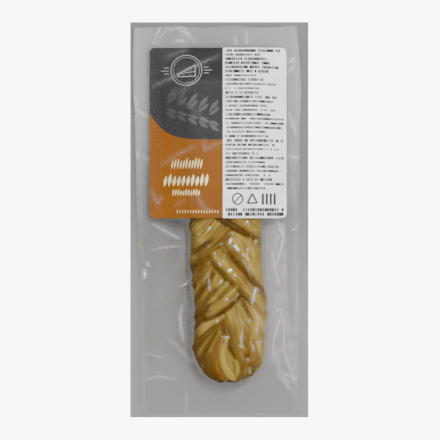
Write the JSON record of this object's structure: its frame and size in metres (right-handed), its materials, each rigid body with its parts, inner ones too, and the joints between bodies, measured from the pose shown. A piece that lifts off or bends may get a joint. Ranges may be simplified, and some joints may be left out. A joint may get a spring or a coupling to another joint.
{
  "type": "vacuum packed braided cheese",
  "caption": "Smoked string cheese plaited into a flat braid, sealed in a clear vacuum bag with a printed card label.",
  "frame": {"origin": "middle of the bag's bounding box, on the plane the pack lies on", "axes": "+Z out of the front of the pack, +Y along the bag towards the label's end, +X to the right seen from the front"},
  "size_m": [0.1229, 0.28, 0.0258],
  "materials": {
    "smoked_cheese": "moist, satin, straw to amber",
    "clear_film": "clear, glossy, creased",
    "printed_label": "satin print"
  },
  "bodies": {
    "root": {"cheese_braid": "smoked_cheese", "vacuum_bag": "clear_film", "label": "printed_label"}
  },
  "joints": []
}
